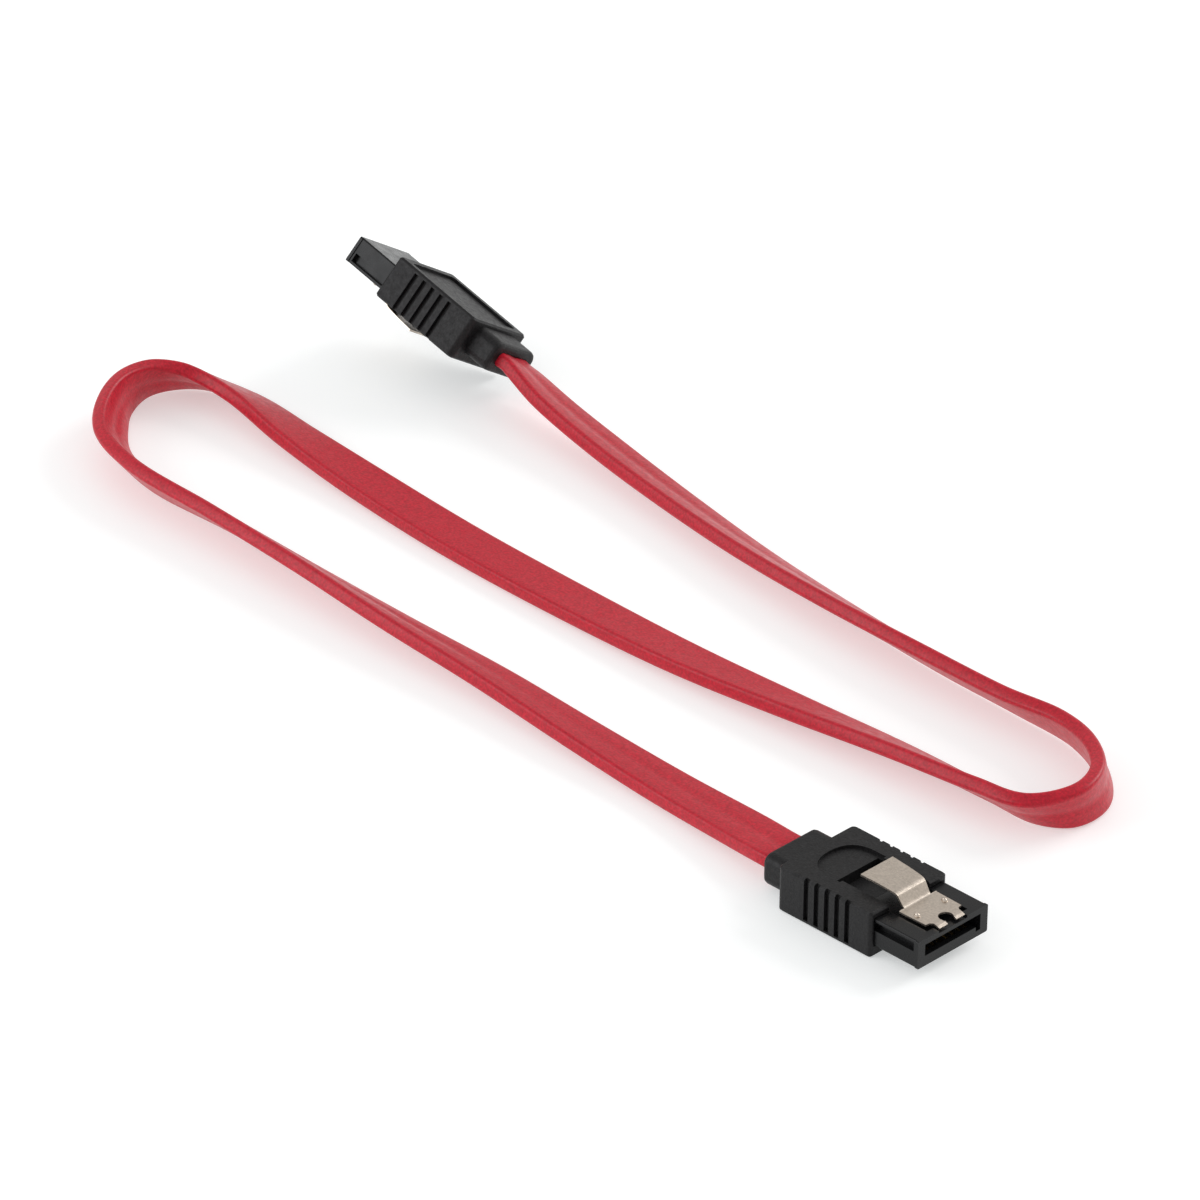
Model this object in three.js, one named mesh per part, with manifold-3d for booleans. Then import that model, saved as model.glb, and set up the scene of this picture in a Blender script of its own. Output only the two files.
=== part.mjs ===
// A flat serial-ATA data lead: two overmoulded plugs with sprung latches on one red ribbon cable.
// Millimetres, +Z up. The front plug lies on the floor with its mouth towards +X.
// The origin is on the floor, in the middle of the box that holds the two plugs.
import * as THREE from "three";
import { mergeVertices } from "three/addons/utils/BufferGeometryUtils.js";
import Module from "manifold-3d";

// Plug body. In a plug's own frame x runs towards the mouth from the body's front face,
// y runs across the plug and z rises from the flat label side to the latch side.
const BODY = { length: 17.4, width: 15.1, height: 7.1, frontRadius: 0.6, rearRadius: 0.95, edge: 0.3 };
const BOOT = { length: 4.8, width: 10.9, height: 5.0, radius: 1.5, tipRound: 0.7 };
const LABEL_PANEL = { margin: 1.5, depth: 0.45, radius: 0.8 };
const GRIP = { count: 5, first: 4.4, pitch: 1.9, width: 0.85, depth: 0.6, foot: 0.6 };
const SCOOP = { reach: 5.4, halfWidth: 4.6, depth: 0.45 };
const LEVER_WELL = { length: 9.55, halfWidth: 4.1, floor: 5.0 };

// Insulator: the plug's nose, its mouth, and the tail that sits in the body.
const NOSE = { length: 8.1, width: 13.6, bottom: 1.75, top: 6.1, edge: 0.25 };
const RIM = { thickness: 0.5, proud: 0.15 };
const TAIL_LENGTH = 4.0;
const SLOT = { depth: 7.5, halfWidth: 5.5, bottom: 3.35, top: 5.15 };
const KEY = { width: 0.9, bottom: 2.65 };
const SIDE_GROOVE = { start: -0.3, end: 7.2, bottom: 4.25, top: 5.65, depth: 0.8 };
const LATCH_BED = { halfWidth: 4.0, floor: 5.6, end: 7.0 };
const PRONG_BED = { halfWidth: 2.8, floor: 5.75 };

// Contacts and the wires that are soldered to their tails.
const CONTACT = { count: 7, pitch: 1.27, width: 0.6, thickness: 0.25, tail: 8.0, nose: 7.0, rise: 0.65, base: 2.95 };
const CONTACT_RAMP = { foot: 1.0, knee: 2.2 };
const CONTACT_CREST = { start: 4.1, end: 5.1 };
const CHANNEL = { width: 0.84, floor: 2.75, end: 7.25 };
const SIGNAL_CONTACTS = [2, 3, 5, 6];
const SIGNAL_WIRE_RADIUS = 0.25;
const DRAIN_WIRE_RADIUS = 0.15;
const WIRE_SPREAD = 0.8;

// Ribbon cable, and where its jacket is stripped inside the body.
const RIBBON = { width: 7.6, thickness: 2.2, radius: 0.55, groove: 0.12, stepsPerSpan: 2 };
const CABLE_HEIGHT = 3.2;
const STRIP_X = -12.0;
const STRAIGHT_EXIT = 2.5;
const SOLDER_POCKET = { halfWidth: 5.2, halfHeight: 1.2 };

// Latch: one stamped leaf of stainless sheet.
const SHEET = 0.3;
const LEAF = {
  leverTip: [-6.1, 8.73],
  leverMiddle: [-3.0, 8.6],
  leverFront: [-0.6, 8.38],
  bendTop: [0.15, 8.15],
  bendFront: [0.5, 7.75],
  foot: [1.15, 6.8],
  footFront: [1.55, 6.5],
  plate: [2.0, 6.45],
};
const PLATE_END = 7.0;
const PRONG_TIP = { x: 7.85, drop: 0.3 };
const LEVER_HALF_WIDTH = 3.24;
const FOOT_HALF_WIDTH = 2.6;
const PLATE_HALF_WIDTH = 3.65;
const PRONG = { halfWidth: 2.53, root: 6.3 };
const NOTCH = { halfWidth: 0.86, radius: 1.1, x: 6.75 };
const LEAF_STEPS = 21;
const BARB = { x: 3.95, y: 2.7, length: 1.05, width: 0.75, height: 0.45 };

// Clearance between pieces that are pushed or moulded into each other.
const FIT = 0.1;

// The rear plug, in the front plug's frame: raised, rolled over so that its label side shows.
const REAR_PLUG = { behind: 163.7, beside: 68.9, above: 14.0, yaw: 177.5, pitch: -13.2, roll: 215 };
const HALF_TURN = 180;
const REAR_RIBBON_ROLL = REAR_PLUG.roll - HALF_TURN;

// The ribbon's centre line in the front plug's frame. The fourth number is the roll in degrees:
// 0 lies flat, 90 stands on edge, 180 lies flat on its other face.
const ROUTE = [
  [-31, 0.8, 2.7, -1],
  [-48, 2.6, 1.55, 4.5],
  [-66, 3.6, 1.85, 12],
  [-85, 4.8, 2.25, 19.5],
  [-104, 5.2, 2.7, 28.5],
  [-123, 6.0, 3.15, 38.5],
  [-143, 7, 3.3, 43.5],
  [-160.1, 7.3, 3.5, 50],
  [-170.2, 10.4, 3.65, 54.5],
  [-176.4, 16.2, 3.9, 69],
  [-179.8, 22.1, 3.95, 92],
  [-180.2, 28, 3.8, 119],
  [-176.5, 32.9, 3.35, 138],
  [-168, 34.4, 2.85, 149],
  [-154, 32.9, 2.1, 165],
  [-138, 31.4, 1.5, 176],
  [-116, 29.7, 1.25, 179.5],
  [-92, 28.9, 1.35, 177.5],
  [-70, 28.7, 1.7, 171.5],
  [-50, 29.6, 2.25, 161.5],
  [-31, 30.9, 2.8, 150],
  [-15, 31.4, 3.25, 139],
  [-6.8, 31.9, 3.65, 130],
  [-2.7, 36.4, 3.95, 106],
  [-3.6, 42.8, 3.95, 83],
  [-9.3, 48.2, 3.95, 69],
  [-17, 51.1, 3.8, 57],
  [-28, 51.4, 3.5, 46.5],
  [-44, 51.9, 3.4, 44],
  [-62, 53.3, 3.1, 36.5],
  [-82, 55.7, 2.75, 29.5],
  [-102, 59.2, 2.65, 24],
  [-118, 61.9, 3.3, 22],
  [-132, 64.3, 4.5, 26],
];

const PALETTE = {
  overmold: new THREE.MeshStandardMaterial({ color: 0x242426, roughness: 0.62, metalness: 0 }),
  insulator: new THREE.MeshStandardMaterial({ color: 0x1d1d1f, roughness: 0.35, metalness: 0 }),
  latch_spring: new THREE.MeshStandardMaterial({ color: 0xb4aea4, roughness: 0.3, metalness: 1 }),
  contact: new THREE.MeshStandardMaterial({ color: 0xd9b25a, roughness: 0.25, metalness: 1 }),
  signal_wire: new THREE.MeshStandardMaterial({ color: 0xb87350, roughness: 0.35, metalness: 1 }),
  drain_wire: new THREE.MeshStandardMaterial({ color: 0xc4c4c2, roughness: 0.35, metalness: 1 }),
  cable_jacket: new THREE.MeshStandardMaterial({ color: 0xc22a3e, roughness: 0.4, metalness: 0 }),
};

const wasm = await Module();
wasm.setup();

// Solids and meshes

function solid(geometry) {
  const plain = geometry.index ? geometry.toNonIndexed() : geometry.clone();
  plain.deleteAttribute("normal");
  plain.deleteAttribute("uv");
  const merged = mergeVertices(plain, 1e-4);
  return new wasm.Manifold(
    new wasm.Mesh({
      numProp: 3,
      vertProperties: merged.attributes.position.array,
      triVerts: new Uint32Array(merged.index.array),
    }),
  );
}

function toGeometry(manifold) {
  const { vertProperties, triVerts } = manifold.getMesh();
  const geometry = new THREE.BufferGeometry();
  geometry.setAttribute("position", new THREE.BufferAttribute(Float32Array.from(vertProperties), 3));
  geometry.setIndex(new THREE.BufferAttribute(Uint32Array.from(triVerts), 1));
  geometry.computeVertexNormals();
  return geometry;
}

function mesh(name, kind, geometry) {
  const made = new THREE.Mesh(geometry, PALETTE[kind]);
  made.name = name;
  return made;
}

// A rectangle with its own radius at the low-u and at the high-u corners.
function roundedRectangle(u0, u1, v0, v1, lowRadius, highRadius = lowRadius) {
  const shape = new THREE.Shape();
  const quarter = Math.PI / 2;
  shape.absarc(u1 - highRadius, v0 + highRadius, highRadius, -quarter, 0);
  shape.absarc(u1 - highRadius, v1 - highRadius, highRadius, 0, quarter);
  shape.absarc(u0 + lowRadius, v1 - lowRadius, lowRadius, quarter, 2 * quarter);
  shape.absarc(u0 + lowRadius, v0 + lowRadius, lowRadius, 2 * quarter, 3 * quarter);
  return shape;
}

function extrusion(shape, length, edge = 0, edgeSteps = 1, curveSegments = 4) {
  const geometry = new THREE.ExtrudeGeometry(shape, {
    depth: length - 2 * edge,
    curveSegments,
    bevelEnabled: edge > 0,
    bevelThickness: edge,
    bevelSize: edge,
    bevelOffset: -edge,
    bevelSegments: edgeSteps,
  });
  return geometry.translate(0, 0, edge);
}

// An x-y outline standing between two heights.
function upright(shape, z0, z1, edge, edgeSteps, curveSegments) {
  return solid(extrusion(shape, z1 - z0, edge, edgeSteps, curveSegments).translate(0, 0, z0));
}

// A y-z section run from x0 to x1.
function alongX(shape, x0, x1, edge, edgeSteps, curveSegments) {
  const geometry = extrusion(shape, x1 - x0, edge, edgeSteps, curveSegments);
  const turn = new THREE.Matrix4().makeBasis(
    new THREE.Vector3(0, 1, 0),
    new THREE.Vector3(0, 0, 1),
    new THREE.Vector3(1, 0, 0),
  );
  return solid(geometry.applyMatrix4(turn).translate(x0, 0, 0));
}

// An x-z profile of the given width, centred on the line y.
function acrossY(shape, y, width) {
  const geometry = extrusion(shape, width);
  const turn = new THREE.Matrix4().makeBasis(
    new THREE.Vector3(1, 0, 0),
    new THREE.Vector3(0, 0, 1),
    new THREE.Vector3(0, -1, 0),
  );
  return solid(geometry.applyMatrix4(turn).translate(0, y + width / 2, 0));
}

function block([x0, x1], [y0, y1], [z0, z1]) {
  const geometry = new THREE.BoxGeometry(x1 - x0, y1 - y0, z1 - z0);
  return solid(geometry.translate((x0 + x1) / 2, (y0 + y1) / 2, (z0 + z1) / 2));
}

// A sheet of even thickness that follows a bent line in the x-z plane.
function bentSheet(points, thickness) {
  const line = points.map(([x, z]) => new THREE.Vector2(x, z));
  const offsets = line.map((point, i) => {
    const before = line[Math.max(i - 1, 0)];
    const after = line[Math.min(i + 1, line.length - 1)];
    const along = after.clone().sub(before).normalize();
    return new THREE.Vector2(-along.y, along.x).multiplyScalar(thickness / 2);
  });
  const upper = line.map((point, i) => point.clone().add(offsets[i]));
  const lower = line.map((point, i) => point.clone().sub(offsets[i]));
  return new THREE.Shape([...lower, ...upper.reverse()]);
}

// Ribbon cable

function ribbonCorners(growth) {
  const a = RIBBON.width / 2 + growth;
  const b = RIBBON.thickness / 2 + growth;
  const r = RIBBON.radius;
  const side = [
    [a - r, -b],
    [a, -(b - r)],
    [a, b - r],
    [a - r, b],
  ];
  return [side, side.map(([u, v]) => [-u, -v])];
}

// The ribbon's section: a shallow groove runs along the middle of one face.
function ribbonSection() {
  const [one, other] = ribbonCorners(0);
  const r = RIBBON.radius;
  const face = RIBBON.thickness / 2;
  const groove = [
    [r, face],
    [0, face - RIBBON.groove],
    [-r, face],
  ];
  return new THREE.Shape([...one, ...groove, ...other].map(([u, v]) => new THREE.Vector2(u, v)));
}

// A centre line whose section keeps a chosen roll about it at every point.
class RolledRoute extends THREE.Curve {
  constructor(points) {
    super();
    this.line = new THREE.CatmullRomCurve3(points.map(([x, y, z]) => new THREE.Vector3(x, y, z)));
    this.rolls = new THREE.SplineCurve(points.map(([, , , roll], i) => new THREE.Vector2(i, roll)));
  }

  getPoint(t, target) {
    return this.line.getPoint(t, target);
  }

  // Sections stand closer together where the route's points do, in the two loops.
  getSpacedPoints(divisions) {
    return this.getPoints(divisions);
  }

  computeFrenetFrames(segments) {
    const up = new THREE.Vector3(0, 0, 1);
    const frames = { tangents: [], normals: [], binormals: [] };
    for (let i = 0; i <= segments; i++) {
      const t = i / segments;
      const roll = THREE.MathUtils.degToRad(this.rolls.getPoint(t).y);
      const tangent = this.getTangent(t);
      const side = up.clone().cross(tangent).normalize();
      const normal = side.applyAxisAngle(tangent, roll);
      frames.tangents.push(tangent);
      frames.normals.push(normal);
      frames.binormals.push(tangent.clone().cross(normal));
    }
    return frames;
  }
}

function cableJacket(frontPlug, rearPlug) {
  const bootEnd = -BODY.length - BOOT.length;
  const straight = [STRIP_X, -BODY.length, bootEnd, bootEnd - STRAIGHT_EXIT];
  const frontEnd = straight.map((x) => [x, 0, CABLE_HEIGHT]);
  const rearEnd = frontEnd.map((point) =>
    new THREE.Vector3(...point).applyMatrix4(rearPlug.matrixWorld).toArray(),
  );
  const route = new RolledRoute([
    ...frontEnd.map((point) => [...point, 0]),
    ...ROUTE,
    ...rearEnd.reverse().map((point) => [...point, REAR_RIBBON_ROLL]),
  ]);
  const geometry = new THREE.ExtrudeGeometry(ribbonSection(), {
    steps: RIBBON.stepsPerSpan * (route.line.points.length - 1),
    extrudePath: route,
    bevelEnabled: false,
  });
  return mesh("cable_jacket", "cable_jacket", toGeometry(solid(geometry)));
}

// Plug pieces

function overmold() {
  const { length, width, height } = BODY;
  const bootEnd = -length - BOOT.length;
  const bodyPlan = roundedRectangle(-length, 0, -width / 2, width / 2, BODY.rearRadius, BODY.frontRadius);
  const bootSection = roundedRectangle(
    -BOOT.width / 2,
    BOOT.width / 2,
    CABLE_HEIGHT - BOOT.height / 2,
    CABLE_HEIGHT + BOOT.height / 2,
    BOOT.radius,
  );
  let made = upright(bodyPlan, 0, height, BODY.edge, 1);
  made = made.add(alongX(bootSection, bootEnd, -length + 2 * BOOT.tipRound, BOOT.tipRound, 3));

  const above = height + 1;
  const halfNose = NOSE.width / 2 + FIT;
  const socketEnd = -TAIL_LENGTH - FIT;
  const socket = block([socketEnd, 1], [-halfNose, halfNose], [NOSE.bottom - FIT, NOSE.top + FIT]);
  const well = block(
    [-LEVER_WELL.length, 1],
    [-LEVER_WELL.halfWidth, LEVER_WELL.halfWidth],
    [LEVER_WELL.floor, above],
  );
  const pocket = block(
    [STRIP_X - 4 * FIT, socketEnd + FIT],
    [-SOLDER_POCKET.halfWidth, SOLDER_POCKET.halfWidth],
    [CABLE_HEIGHT - SOLDER_POCKET.halfHeight, CABLE_HEIGHT + SOLDER_POCKET.halfHeight],
  );
  const opening = new THREE.Shape(ribbonCorners(FIT).flat().map(([u, v]) => new THREE.Vector2(u, v)));
  const passage = alongX(opening, bootEnd - 1, STRIP_X).translate([0, 0, CABLE_HEIGHT]);
  made = made.subtract(socket).subtract(well).subtract(pocket).subtract(passage);

  const scoopRear = -LEVER_WELL.length - SCOOP.reach;
  const scoopPlan = new THREE.Shape();
  scoopPlan.moveTo(-LEVER_WELL.length + 1, -SCOOP.halfWidth);
  scoopPlan.lineTo(-LEVER_WELL.length + 1, SCOOP.halfWidth);
  scoopPlan.lineTo(-LEVER_WELL.length - 1, SCOOP.halfWidth);
  scoopPlan.quadraticCurveTo(scoopRear, SCOOP.halfWidth, scoopRear, 0);
  scoopPlan.quadraticCurveTo(scoopRear, -SCOOP.halfWidth, -LEVER_WELL.length - 1, -SCOOP.halfWidth);
  made = made.subtract(upright(scoopPlan, height - SCOOP.depth, above, 0, 1, 8));

  const panelHalf = width / 2 - LABEL_PANEL.margin;
  const panelPlan = roundedRectangle(
    -length + LABEL_PANEL.margin,
    -LABEL_PANEL.margin,
    -panelHalf,
    panelHalf,
    LABEL_PANEL.radius,
  );
  made = made.subtract(upright(panelPlan, -1, LABEL_PANEL.depth));

  for (let i = 0; i < GRIP.count; i++) {
    const x = -GRIP.first - i * GRIP.pitch;
    for (const side of [-1, 1]) {
      const outside = side * (width / 2 + 1);
      const bottom = side * (width / 2 - GRIP.depth);
      made = made.subtract(
        block(
          [x - GRIP.width / 2, x + GRIP.width / 2],
          [Math.min(outside, bottom), Math.max(outside, bottom)],
          [GRIP.foot, above],
        ),
      );
    }
  }
  return made;
}

// The places of the contacts across the plug, from the first to the last.
function contactPlaces() {
  const middle = (CONTACT.count + 1) / 2;
  return Array.from({ length: CONTACT.count }, (_, i) => (i + 1 - middle) * CONTACT.pitch);
}

function insulator() {
  const half = NOSE.width / 2;
  const rimHalf = half + RIM.proud;
  const core = roundedRectangle(-half, half, NOSE.bottom, NOSE.top, NOSE.edge);
  const rim = roundedRectangle(-rimHalf, rimHalf, NOSE.bottom, NOSE.top, NOSE.edge);
  const front = NOSE.length + 1;
  let made = alongX(core, -TAIL_LENGTH, NOSE.length - RIM.thickness / 2);
  made = made.add(alongX(rim, NOSE.length - RIM.thickness, NOSE.length));

  const slotStart = NOSE.length - SLOT.depth;
  const slot = block([slotStart, front], [-SLOT.halfWidth, SLOT.halfWidth], [SLOT.bottom, SLOT.top]);
  const key = block(
    [slotStart, front],
    [SLOT.halfWidth - KEY.width, SLOT.halfWidth],
    [KEY.bottom, SLOT.bottom + FIT],
  );
  const bed = block(
    [-TAIL_LENGTH - 1, LATCH_BED.end],
    [-LATCH_BED.halfWidth, LATCH_BED.halfWidth],
    [LATCH_BED.floor, NOSE.top + 1],
  );
  const prongBed = block(
    [LATCH_BED.end - 1, front],
    [-PRONG_BED.halfWidth, PRONG_BED.halfWidth],
    [PRONG_BED.floor, NOSE.top + 1],
  );
  made = made.subtract(slot).subtract(key).subtract(bed).subtract(prongBed);

  for (const side of [-1, 1]) {
    const outside = side * (half + 1);
    const bottom = side * (half - SIDE_GROOVE.depth);
    made = made.subtract(
      block(
        [SIDE_GROOVE.start, SIDE_GROOVE.end],
        [Math.min(outside, bottom), Math.max(outside, bottom)],
        [SIDE_GROOVE.bottom, SIDE_GROOVE.top],
      ),
    );
  }
  for (const y of contactPlaces()) {
    made = made.subtract(
      block(
        [-TAIL_LENGTH - 1, CHANNEL.end],
        [y - CHANNEL.width / 2, y + CHANNEL.width / 2],
        [CHANNEL.floor, SLOT.bottom + FIT],
      ),
    );
  }
  return made;
}

function contact(y) {
  const low = CONTACT.base + CONTACT.thickness / 2;
  const high = low + CONTACT.rise;
  const profile = bentSheet(
    [
      [-CONTACT.tail, low],
      [CONTACT_RAMP.foot, low],
      [CONTACT_RAMP.knee, low + 0.25 * CONTACT.rise],
      [CONTACT_CREST.start, high],
      [CONTACT_CREST.end, high],
      [CONTACT.nose - 0.6, low + 0.15 * CONTACT.rise],
      [CONTACT.nose, low],
    ],
    CONTACT.thickness,
  );
  return acrossY(profile, y, CONTACT.width);
}

// A straight wire from the stripped end of the cable to a contact's tail.
function wire(y, radius) {
  const height = CONTACT.base + CONTACT.thickness + FIT / 2 + radius;
  const start = new THREE.Vector3(STRIP_X + FIT, y * WIRE_SPREAD, height);
  const end = new THREE.Vector3(STRIP_X + CONTACT.tail - 1, y, height);
  const run = end.clone().sub(start);
  const geometry = new THREE.CylinderGeometry(radius, radius, run.length(), 8);
  const turn = new THREE.Quaternion().setFromUnitVectors(new THREE.Vector3(0, 1, 0), run.clone().normalize());
  const middle = start.add(end).multiplyScalar(0.5);
  return solid(geometry.applyQuaternion(turn).translate(middle.x, middle.y, middle.z));
}

function latchSpring() {
  const plateHeight = LEAF.plate[1];
  const bend = new THREE.SplineCurve(Object.values(LEAF).map(([x, z]) => new THREE.Vector2(x, z)));
  const side = bentSheet(
    [
      ...bend.getPoints(LEAF_STEPS).map((point) => point.toArray()),
      [PLATE_END, plateHeight],
      [(PLATE_END + PRONG_TIP.x) / 2, plateHeight - 0.1],
      [PRONG_TIP.x, plateHeight - PRONG_TIP.drop],
    ],
    SHEET,
  );
  const tip = LEAF.leverTip[0];
  const step = LEAF.footFront[0];
  const edge = [
    [tip - 1, LEVER_HALF_WIDTH],
    [LEAF.leverFront[0], LEVER_HALF_WIDTH - 0.35],
    [step, FOOT_HALF_WIDTH],
    [step, PLATE_HALF_WIDTH],
    [PRONG.root, PLATE_HALF_WIDTH - 0.12],
    [PRONG.root + 0.1, PRONG.halfWidth + 0.35],
    [PRONG.root + 0.5, PRONG.halfWidth],
    [PRONG_TIP.x + 1, PRONG.halfWidth],
  ];
  const outline = [...edge, ...edge.map(([x, y]) => [x, -y]).reverse()];
  const plan = new THREE.Shape(outline.map(([x, y]) => new THREE.Vector2(x, y)).reverse());
  let made = acrossY(side, 0, 2 * PLATE_HALF_WIDTH + 1).intersect(upright(plan, 0, 2 * BODY.height));

  const notch = new THREE.Shape().absarc(NOTCH.x, 0, NOTCH.radius, 0, 2 * Math.PI);
  made = made.subtract(upright(notch, 0, 2 * BODY.height, 0, 1, 8));
  made = made.subtract(
    block([NOTCH.x, PRONG_TIP.x + 1], [-NOTCH.halfWidth, NOTCH.halfWidth], [0, 2 * BODY.height]),
  );
  for (const y of [-BARB.y, BARB.y]) {
    const dome = new THREE.SphereGeometry(1, 12, 8).rotateX(Math.PI / 2);
    dome.scale(BARB.length / 2, BARB.width / 2, SHEET / 2 + BARB.height).translate(BARB.x, y, plateHeight);
    made = made.add(solid(dome).trimByPlane([0, 0, 1], plateHeight));
  }
  return made;
}

// A whole plug: its body, insulator, latch, contacts and the wires behind them.
function plug(prefix) {
  const group = new THREE.Group();
  const put = (name, kind, manifold) => group.add(mesh(`${prefix}_${name}`, kind, toGeometry(manifold)));
  put("overmold", "overmold", overmold());
  put("insulator", "insulator", insulator());
  put("latch_spring", "latch_spring", latchSpring());
  let signals = 0;
  let drains = 0;
  contactPlaces().forEach((y, i) => {
    put(`contact_${i + 1}`, "contact", contact(y));
    if (SIGNAL_CONTACTS.includes(i + 1)) {
      signals += 1;
      put(`signal_wire_${signals}`, "signal_wire", wire(y, SIGNAL_WIRE_RADIUS));
    } else {
      drains += 1;
      put(`drain_wire_${drains}`, "drain_wire", wire(y, DRAIN_WIRE_RADIUS));
    }
  });
  return group;
}

const frontPlug = plug("front");
const rearPlug = plug("rear");
rearPlug.position.set(-REAR_PLUG.behind, REAR_PLUG.beside, REAR_PLUG.above);
rearPlug.rotation.order = "ZYX";
rearPlug.rotation.set(...[REAR_PLUG.roll, REAR_PLUG.pitch, REAR_PLUG.yaw].map(THREE.MathUtils.degToRad));
rearPlug.updateMatrixWorld(true);

const plugs = new THREE.Group().add(frontPlug, rearPlug);
plugs.updateMatrixWorld(true);
const middle = new THREE.Box3().setFromObject(plugs, true).getCenter(new THREE.Vector3());

const part = new THREE.Group();
part.add(plugs, cableJacket(frontPlug, rearPlug));
part.position.set(-middle.x, -middle.y, 0);

export default part;
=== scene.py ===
"""A flat red serial-ATA lead with two black latching plugs, lying in two loose bends on a white floor."""

import math

import bmesh
import bpy
from mathutils import Matrix, Vector


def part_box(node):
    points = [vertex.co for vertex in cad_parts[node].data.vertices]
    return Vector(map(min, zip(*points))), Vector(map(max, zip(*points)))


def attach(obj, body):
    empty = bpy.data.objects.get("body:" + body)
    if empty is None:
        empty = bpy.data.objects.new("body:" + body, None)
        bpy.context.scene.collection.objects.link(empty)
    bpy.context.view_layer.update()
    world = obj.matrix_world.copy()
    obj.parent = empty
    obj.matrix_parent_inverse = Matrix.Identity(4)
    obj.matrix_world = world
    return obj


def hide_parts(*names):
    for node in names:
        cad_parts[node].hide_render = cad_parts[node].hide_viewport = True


# The front plug's own frame: its origin is on the floor, in the middle of the body's front face.
# Lengths are in metres and angles in degrees.
NOSE_LENGTH = 0.0081
BODY_LENGTH = 0.0174
BOOT_LENGTH = 0.0048
CABLE_HEIGHT = 0.0032
STRIP_X = -0.0120
BOOT_END_X = -BODY_LENGTH - BOOT_LENGTH
STRAIGHT_EXIT = 0.0025
REAR_PLUG_PLACE = (-0.1637, 0.0689, 0.0140)
REAR_PLUG_TURN = {"Z": 177.5, "Y": -13.2, "X": 215.0}
REAR_RIBBON_ROLL = REAR_PLUG_TURN["X"] - 180

# Ribbon cable
RIBBON_WIDTH = 0.0076
RIBBON_THICKNESS = 0.0022
RIBBON_EDGE = 0.00062
GROOVE_DEPTH = 0.00016
GROOVE_WIDTH = 0.001
CORNER_STEPS = 5
UPPER_STEPS = 22
LOWER_STEPS = 8
RINGS_PER_SPAN = 16

# The cable's centre line in the front plug's frame. The fourth number is the roll: 0 lies flat,
# 90 stands on edge, 180 lies flat on its other face.
ROUTE = [
    (-0.031, 0.0008, 0.0027, -1),
    (-0.048, 0.0026, 0.00155, 4.5),
    (-0.066, 0.0036, 0.00185, 12),
    (-0.085, 0.0048, 0.00225, 19.5),
    (-0.104, 0.0052, 0.0027, 28.5),
    (-0.123, 0.0060, 0.00315, 38.5),
    (-0.143, 0.0070, 0.0033, 43.5),
    (-0.1601, 0.0073, 0.0035, 50),
    (-0.1702, 0.0104, 0.00365, 54.5),
    (-0.1764, 0.0162, 0.0039, 69),
    (-0.1798, 0.0221, 0.00395, 92),
    (-0.1802, 0.0280, 0.0038, 119),
    (-0.1765, 0.0329, 0.00335, 138),
    (-0.168, 0.0344, 0.00285, 149),
    (-0.154, 0.0329, 0.0021, 165),
    (-0.138, 0.0314, 0.0015, 176),
    (-0.116, 0.0297, 0.00125, 179.5),
    (-0.092, 0.0289, 0.00135, 177.5),
    (-0.070, 0.0287, 0.0017, 171.5),
    (-0.050, 0.0296, 0.00225, 161.5),
    (-0.031, 0.0309, 0.0028, 150),
    (-0.015, 0.0314, 0.00325, 139),
    (-0.0068, 0.0319, 0.00365, 130),
    (-0.0027, 0.0364, 0.00395, 106),
    (-0.0036, 0.0428, 0.00395, 83),
    (-0.0093, 0.0482, 0.00395, 69),
    (-0.017, 0.0511, 0.0038, 57),
    (-0.028, 0.0514, 0.0035, 46.5),
    (-0.044, 0.0519, 0.0034, 44),
    (-0.062, 0.0533, 0.0031, 36.5),
    (-0.082, 0.0557, 0.00275, 29.5),
    (-0.102, 0.0592, 0.00265, 24),
    (-0.118, 0.0619, 0.0033, 22),
    (-0.132, 0.0643, 0.0045, 26),
]

# Rounding of the plugs' sharp edges
OVERMOLD_EDGE = 0.00016
INSULATOR_EDGE = 0.00012
SHEET_EDGE = 0.00005
EDGE_STEPS = 3
SHARP_ANGLE = 28
FLAT_ANGLE = 2
WELD_DISTANCE = 0.000002
FACE_WEIGHT = 60

# The part of a noise texture's range that its values mostly fall in
NOISE_LOW = 0.3
NOISE_HIGH = 0.7

# Camera, as fitted to the photograph, in the front plug's frame
CAMERA_TARGET = (-0.09206, 0.03392, 0.0)
CAMERA_DISTANCE = 1.22295
CAMERA_AZIMUTH = 44.263
CAMERA_ELEVATION = 30.701
CAMERA_ROLL = 0.731
CAMERA_LENS = 254.1
SENSOR_WIDTH = 36.0

FLOOR_SIZE = 6

# The studio's light from the horizon (0) up to the zenith (1)
SKY = [
    (0.02, (0.38, 0.37, 0.36, 1)),
    (0.40, (0.86, 0.85, 0.83, 1)),
    (0.80, (0.62, 0.62, 0.62, 1)),
]


def plug_origin():
    low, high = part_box("front_insulator")
    return Vector((high.x - NOSE_LENGTH, (low.y + high.y) / 2, 0))


def rear_plug_matrix():
    turn = Matrix.Identity(4)
    for axis, angle in REAR_PLUG_TURN.items():
        turn = turn @ Matrix.Rotation(math.radians(angle), 4, axis)
    return Matrix.Translation(REAR_PLUG_PLACE) @ turn


# Materials


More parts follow.
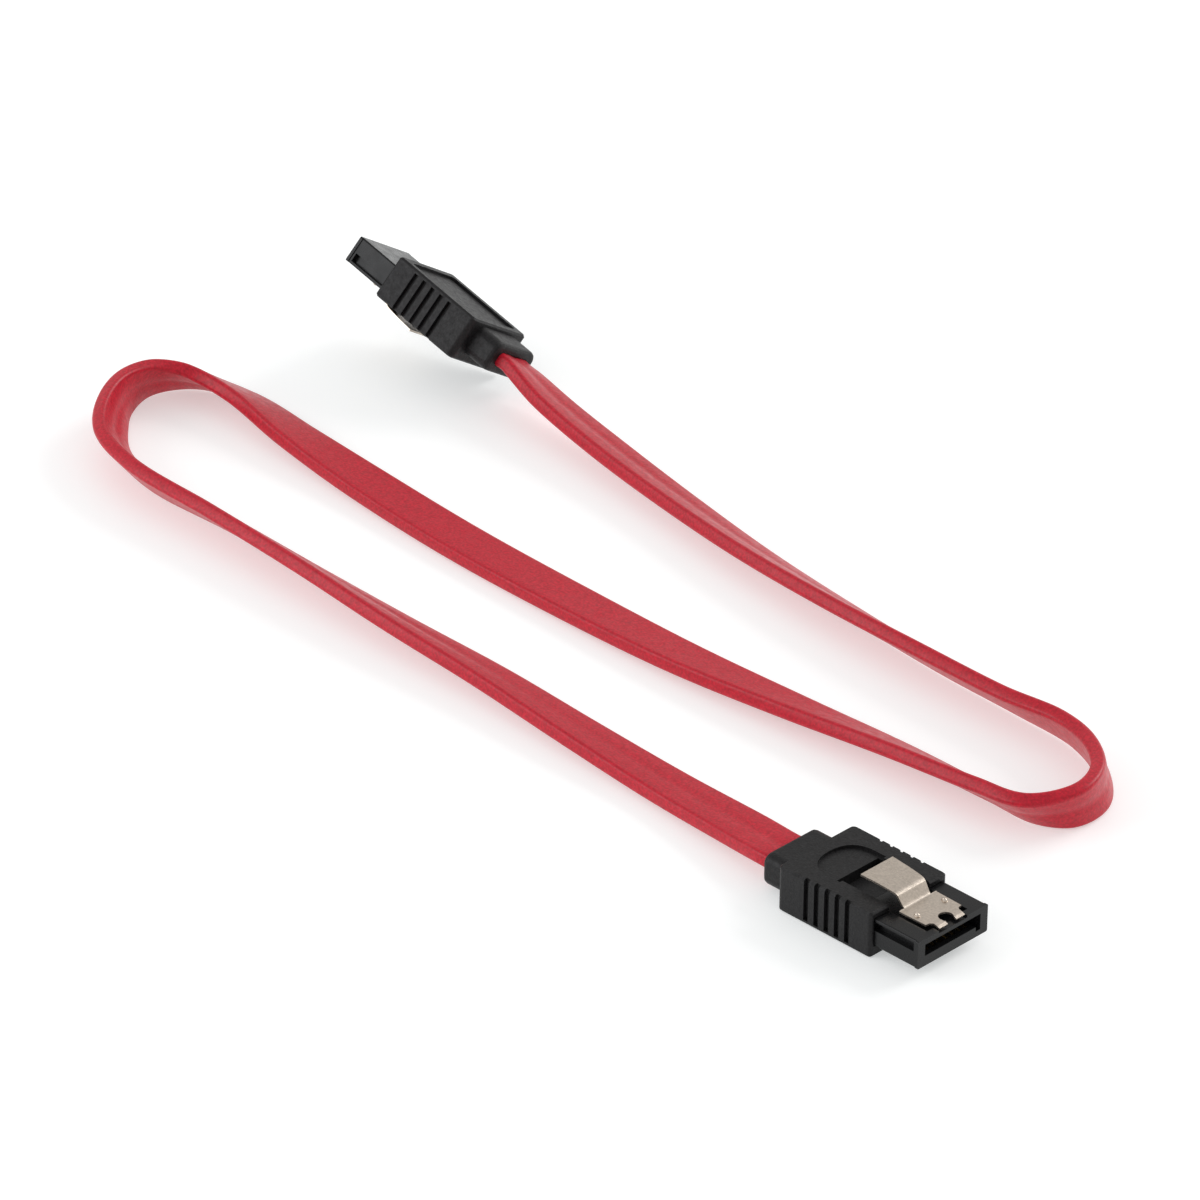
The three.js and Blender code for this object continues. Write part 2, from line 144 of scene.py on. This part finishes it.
class Shader:
    """A principled material and short calls that wire procedural detail into it."""

    def __init__(self, name, color, roughness, metallic=0.0):
        self.material = bpy.data.materials.new(name)
        self.material.use_nodes = True
        self.nodes = self.material.node_tree.nodes
        self.links = self.material.node_tree.links
        self.surface = self.nodes["Principled BSDF"]
        self.surface.inputs["Base Color"].default_value = (*color, 1)
        self.surface.inputs["Roughness"].default_value = roughness
        self.surface.inputs["Metallic"].default_value = metallic
        self.color = color
        self.place = self.nodes.new("ShaderNodeTexCoord").outputs["Object"]
        self.relief = None

    def noise(self, scale, detail, stretch=(1, 1, 1)):
        mapping = self.nodes.new("ShaderNodeMapping")
        mapping.inputs["Scale"].default_value = stretch
        self.links.new(self.place, mapping.inputs["Vector"])
        texture = self.nodes.new("ShaderNodeTexNoise")
        texture.inputs["Scale"].default_value = scale
        texture.inputs["Detail"].default_value = detail
        self.links.new(mapping.outputs["Vector"], texture.inputs["Vector"])
        return texture.outputs["Fac"]

    def spread(self, value, low, high):
        ramp = self.nodes.new("ShaderNodeMapRange")
        ramp.inputs["From Min"].default_value = NOISE_LOW
        ramp.inputs["From Max"].default_value = NOISE_HIGH
        ramp.inputs["To Min"].default_value = low
        ramp.inputs["To Max"].default_value = high
        self.links.new(value, ramp.inputs["Value"])
        return ramp.outputs["Result"]

    def vary_color(self, value, low, high):
        """Lets the colour run between low and high times the plain one."""
        mix = self.nodes.new("ShaderNodeMix")
        mix.data_type = "RGBA"
        mix.inputs["A"].default_value = (*(c * low for c in self.color), 1)
        mix.inputs["B"].default_value = (*(c * high for c in self.color), 1)
        self.links.new(self.spread(value, 0, 1), mix.inputs["Factor"])
        self.links.new(mix.outputs["Result"], self.surface.inputs["Base Color"])

    def vary_roughness(self, value, low, high):
        self.links.new(self.spread(value, low, high), self.surface.inputs["Roughness"])

    def bump(self, value, distance, strength):
        """Adds a relief on top of the ones that the material already has."""
        bump = self.nodes.new("ShaderNodeBump")
        bump.inputs["Distance"].default_value = distance
        bump.inputs["Strength"].default_value = strength
        self.links.new(value, bump.inputs["Height"])
        if self.relief:
            self.links.new(self.relief, bump.inputs["Normal"])
        self.relief = bump.outputs["Normal"]
        self.links.new(self.relief, self.surface.inputs["Normal"])

    def gloss(self, specular, sheen, sheen_roughness):
        self.surface.inputs["Specular IOR Level"].default_value = specular
        self.surface.inputs["Sheen Weight"].default_value = sheen
        self.surface.inputs["Sheen Roughness"].default_value = sheen_roughness


def red_jacket():
    shader = Shader("red_jacket", (0.46, 0.009, 0.024), roughness=0.42)
    shader.vary_color(shader.noise(scale=2600, detail=6), low=0.72, high=1.28)
    shader.vary_roughness(shader.noise(scale=900, detail=3), low=0.32, high=0.46)
    shader.bump(shader.noise(scale=2200, detail=2), distance=0.00002, strength=0.5)
    shader.bump(shader.noise(scale=140, detail=2), distance=0.00012, strength=0.35)
    shader.gloss(specular=0.28, sheen=0.05, sheen_roughness=0.35)
    shader.surface.inputs["Subsurface Weight"].default_value = 0.05
    shader.surface.inputs["Subsurface Radius"].default_value = (1.0, 0.2, 0.15)
    shader.surface.inputs["Subsurface Scale"].default_value = 0.0006
    return shader.material


def black_overmold():
    shader = Shader("black_overmold", (0.008, 0.0076, 0.0082), roughness=0.5)
    shader.vary_color(shader.noise(scale=3200, detail=6), low=0.4, high=1.7)
    shader.vary_roughness(shader.noise(scale=1500, detail=3), low=0.4, high=0.56)
    shader.bump(shader.noise(scale=3600, detail=2), distance=0.00005, strength=0.8)
    shader.gloss(specular=0.24, sheen=0.05, sheen_roughness=0.2)
    return shader.material


def black_insulator():
    shader = Shader("black_insulator", (0.006, 0.006, 0.0066), roughness=0.3)
    shader.vary_roughness(shader.noise(scale=700, detail=2), low=0.22, high=0.34)
    shader.bump(shader.noise(scale=900, detail=2), distance=0.00002, strength=0.25)
    shader.gloss(specular=0.24, sheen=0.07, sheen_roughness=0.15)
    return shader.material


def stainless_sheet():
    shader = Shader("stainless_sheet", (0.56, 0.49, 0.42), roughness=0.3, metallic=1.0)
    along_grain = shader.noise(scale=500, detail=3, stretch=(0.15, 1, 1))
    brush_lines = shader.noise(scale=2600, detail=2, stretch=(0.08, 1, 1))
    shader.vary_color(shader.noise(scale=3000, detail=5), low=0.85, high=1.12)
    shader.vary_roughness(along_grain, low=0.24, high=0.38)
    shader.bump(brush_lines, distance=0.00001, strength=0.35)
    return shader.material


def contact_gold():
    shader = Shader("contact_gold", (0.83, 0.60, 0.26), roughness=0.24, metallic=1.0)
    wipe_marks = shader.noise(scale=1800, detail=2, stretch=(0.2, 1, 1))
    shader.vary_roughness(wipe_marks, low=0.18, high=0.34)
    return shader.material


def bare_copper():
    shader = Shader("bare_copper", (0.75, 0.36, 0.22), roughness=0.3, metallic=1.0)
    shader.vary_color(shader.noise(scale=900, detail=3), low=0.85, high=1.05)
    return shader.material


def tinned_copper():
    shader = Shader("tinned_copper", (0.70, 0.69, 0.66), roughness=0.34, metallic=1.0)
    shader.vary_roughness(shader.noise(scale=900, detail=3), low=0.28, high=0.42)
    return shader.material


# The cable


def catmull_rom(points, t, power):
    """A point of the curve through the points, for t from 0 to 1.

    Power 0.5 gives the centripetal curve and 0 the uniform one.
    """
    spans = len(points) - 1
    span = min(int(t * spans), spans - 1)
    w = t * spans - span
    p1, p2 = points[span], points[span + 1]
    p0 = points[span - 1] if span > 0 else 2 * p1 - p2
    p3 = points[span + 2] if span + 2 <= spans else 2 * p2 - p1
    d0, d1, d2 = ((b - a).length ** power for a, b in ((p0, p1), (p1, p2), (p2, p3)))
    out = ((p1 - p0) / d0 - (p2 - p0) / (d0 + d1) + (p2 - p1) / d1) * d1
    into = ((p2 - p1) / d1 - (p3 - p1) / (d1 + d2) + (p3 - p2) / d2) * d1
    return (
        (2 * w**3 - 3 * w**2 + 1) * p1
        + (w**3 - 2 * w**2 + w) * out
        + (3 * w**2 - 2 * w**3) * p2
        + (w**3 - w**2) * into
    )


def route_points():
    """Centre points of the cable in the front plug's frame, and the roll at each."""
    ends = [STRIP_X, -BODY_LENGTH, BOOT_END_X, BOOT_END_X - STRAIGHT_EXIT]
    front = [Vector((x, 0, CABLE_HEIGHT)) for x in ends]
    rear = [rear_plug_matrix() @ point for point in reversed(front)]
    centres = front + [Vector(stop[:3]) for stop in ROUTE] + rear
    rolls = [0] * len(front) + [stop[3] for stop in ROUTE] + [REAR_RIBBON_ROLL] * len(rear)
    return centres, rolls


def ribbon_section():
    """The ribbon's outline: a shallow groove along its upper face and a plain lower face."""
    rise = RIBBON_THICKNESS / 2
    flat = RIBBON_WIDTH / 2 - RIBBON_EDGE
    right = []
    for start, side in ((-90, -1), (0, 1)):
        middle = side * (rise - RIBBON_EDGE)
        for step in range(CORNER_STEPS + 1):
            angle = math.radians(start + 90 * step / CORNER_STEPS)
            u = flat + RIBBON_EDGE * math.cos(angle)
            v = middle + RIBBON_EDGE * math.sin(angle)
            right.append((u, v))
    upper = []
    for i in range(1, UPPER_STEPS):
        u = flat - 2 * flat * i / UPPER_STEPS
        dip = GROOVE_DEPTH * math.exp(-((u / GROOVE_WIDTH) ** 2))
        upper.append((u, rise - dip))
    left = [(-u, v) for u, v in reversed(right)]
    lower = [(2 * flat * i / LOWER_STEPS - flat, -rise) for i in range(1, LOWER_STEPS)]
    return right + upper + left + lower


def ribbon_mesh(line, rolls, to_model):
    """The ribbon's section carried along the line, with closed ends."""
    roll_points = [Vector((roll, 0)) for roll in rolls]
    count = len(line) - 1
    section = ribbon_section()
    mesh = bmesh.new()
    up = Vector((0, 0, 1))
    rings = []
    for i, centre in enumerate(line):
        tangent = (line[min(i + 1, count)] - line[max(i - 1, 0)]).normalized()
        roll = math.radians(catmull_rom(roll_points, i / count, 0)[0])
        across = Matrix.Rotation(roll, 3, tangent) @ up.cross(tangent).normalized()
        out = tangent.cross(across)
        places = [to_model @ (centre + across * u + out * v) for u, v in section]
        rings.append([mesh.verts.new(place) for place in places])
    for ring, following in zip(rings, rings[1:]):
        for k, corner in enumerate(ring):
            after = (k + 1) % len(ring)
            mesh.faces.new((corner, ring[after], following[after], following[k]))
    mesh.faces.new(reversed(rings[0]))
    mesh.faces.new(rings[-1])
    for face in mesh.faces:
        face.smooth = len(face.verts) == 4
    data = bpy.data.meshes.new("ribbon_cable")
    mesh.to_mesh(data)
    mesh.free()
    return data


def ribbon_cable(to_model):
    centres, rolls = route_points()
    count = RINGS_PER_SPAN * (len(centres) - 1)
    line = [catmull_rom(centres, i / count, 0.5) for i in range(count + 1)]
    data = ribbon_mesh(line, rolls, to_model)
    data.materials.append(red_jacket())
    cable = bpy.data.objects.new("ribbon_cable", data)
    bpy.context.collection.objects.link(cable)
    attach(cable, "cable_assembly")
    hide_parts("cable_jacket")


# The plugs


def soften(node, width):
    """Rounds a CAD node's sharp edges for the render, without touching its mesh."""
    weld = node.modifiers.new("weld", "WELD")
    weld.merge_threshold = WELD_DISTANCE
    flat = node.modifiers.new("flat_faces", "DECIMATE")
    flat.decimate_type = "DISSOLVE"
    flat.angle_limit = math.radians(FLAT_ANGLE)
    split = node.modifiers.new("triangles", "TRIANGULATE")
    split.ngon_method = "BEAUTY"
    bevel = node.modifiers.new("edges", "BEVEL")
    bevel.width = width
    bevel.segments = EDGE_STEPS
    bevel.limit_method = "ANGLE"
    bevel.angle_limit = math.radians(SHARP_ANGLE)
    bevel.use_clamp_overlap = True
    bevel.miter_outer = "MITER_ARC"
    normals = node.modifiers.new("shading", "WEIGHTED_NORMAL")
    normals.keep_sharp = True
    normals.weight = FACE_WEIGHT


def dress(name, material, width):
    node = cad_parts[name]
    node.data.materials.clear()
    node.data.materials.append(material)
    if width:
        soften(node, width)


def dress_plugs():
    finishes = {
        "overmold": (black_overmold(), OVERMOLD_EDGE),
        "insulator": (black_insulator(), INSULATOR_EDGE),
        "latch_spring": (stainless_sheet(), SHEET_EDGE),
        "contact": (contact_gold(), None),
        "signal_wire": (bare_copper(), None),
        "drain_wire": (tinned_copper(), None),
    }
    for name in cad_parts:
        for kind, (material, width) in finishes.items():
            if kind in name:
                dress(name, material, width)


# The stage


def floor():
    shader = Shader("white_floor", (0.66, 0.66, 0.66), roughness=0.6)
    shader.surface.inputs["Emission Color"].default_value = (0.97, 1, 1, 1)
    shader.surface.inputs["Emission Strength"].default_value = 0.44
    bpy.ops.mesh.primitive_plane_add(size=FLOOR_SIZE, location=(0, 0, 0))
    plane = bpy.context.object
    plane.name = "floor"
    plane.data.materials.append(shader.material)


def area_light(name, place, size, power, color=(1, 1, 1)):
    """A rectangular light that points at the middle of the floor."""
    data = bpy.data.lights.new(name, "AREA")
    data.shape = "RECTANGLE"
    data.size, data.size_y = size
    data.energy = power
    data.color = color
    light = bpy.data.objects.new(name, data)
    light.location = place
    light.rotation_euler = (-Vector(place)).to_track_quat("-Z", "Y").to_euler()
    bpy.context.collection.objects.link(light)


def sky_light():
    world = bpy.data.worlds.new("studio")
    bpy.context.scene.world = world
    world.use_nodes = True
    nodes = world.node_tree.nodes
    links = world.node_tree.links
    direction = nodes.new("ShaderNodeTexCoord").outputs["Generated"]
    split = nodes.new("ShaderNodeSeparateXYZ")
    links.new(direction, split.inputs["Vector"])
    sky = nodes.new("ShaderNodeValToRGB")
    sky.color_ramp.elements.new(0.5)
    for stop, (position, color) in zip(sky.color_ramp.elements, SKY):
        stop.position = position
        stop.color = color
    links.new(split.outputs["Z"], sky.inputs["Fac"])
    links.new(sky.outputs["Color"], nodes["Background"].inputs["Color"])
    nodes["Background"].inputs["Strength"].default_value = 1.0


def camera(to_model):
    azimuth = math.radians(CAMERA_AZIMUTH)
    elevation = math.radians(CAMERA_ELEVATION)
    roll = math.radians(CAMERA_ROLL)
    reach = math.cos(elevation)
    ahead = Vector((-math.sin(azimuth) * reach, math.cos(azimuth) * reach, -math.sin(elevation)))
    level = Vector((math.cos(azimuth), math.sin(azimuth), 0))
    above = level.cross(ahead)
    right = math.cos(roll) * level + math.sin(roll) * above
    top = right.cross(ahead)
    place = to_model @ (Vector(CAMERA_TARGET) - ahead * CAMERA_DISTANCE)
    data = bpy.data.cameras.new("camera")
    data.sensor_width = SENSOR_WIDTH
    data.lens = CAMERA_LENS
    view = bpy.data.objects.new("camera", data)
    turn = Matrix((right, top, -ahead)).transposed().to_4x4()
    view.matrix_world = Matrix.Translation(place) @ turn
    bpy.context.collection.objects.link(view)
    bpy.context.scene.camera = view


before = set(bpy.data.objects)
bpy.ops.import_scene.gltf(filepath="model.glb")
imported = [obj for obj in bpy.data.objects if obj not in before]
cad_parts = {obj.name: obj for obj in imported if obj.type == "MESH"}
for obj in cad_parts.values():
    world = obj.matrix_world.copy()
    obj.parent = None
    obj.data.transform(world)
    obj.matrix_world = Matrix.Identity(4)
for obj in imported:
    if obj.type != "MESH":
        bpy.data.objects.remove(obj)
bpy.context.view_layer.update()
front_plug_to_model = Matrix.Translation(plug_origin())

bpy.context.scene.view_settings.view_transform = "Standard"
camera(front_plug_to_model)
ribbon_cable(front_plug_to_model)
dress_plugs()
floor()
sky_light()
area_light("key", place=(0.25, 1.2, 0.7), size=(0.8, 0.6), power=9)
area_light("fill", place=(-0.85, -1.1, 0.6), size=(1.2, 0.9), power=9, color=(0.95, 0.97, 1))
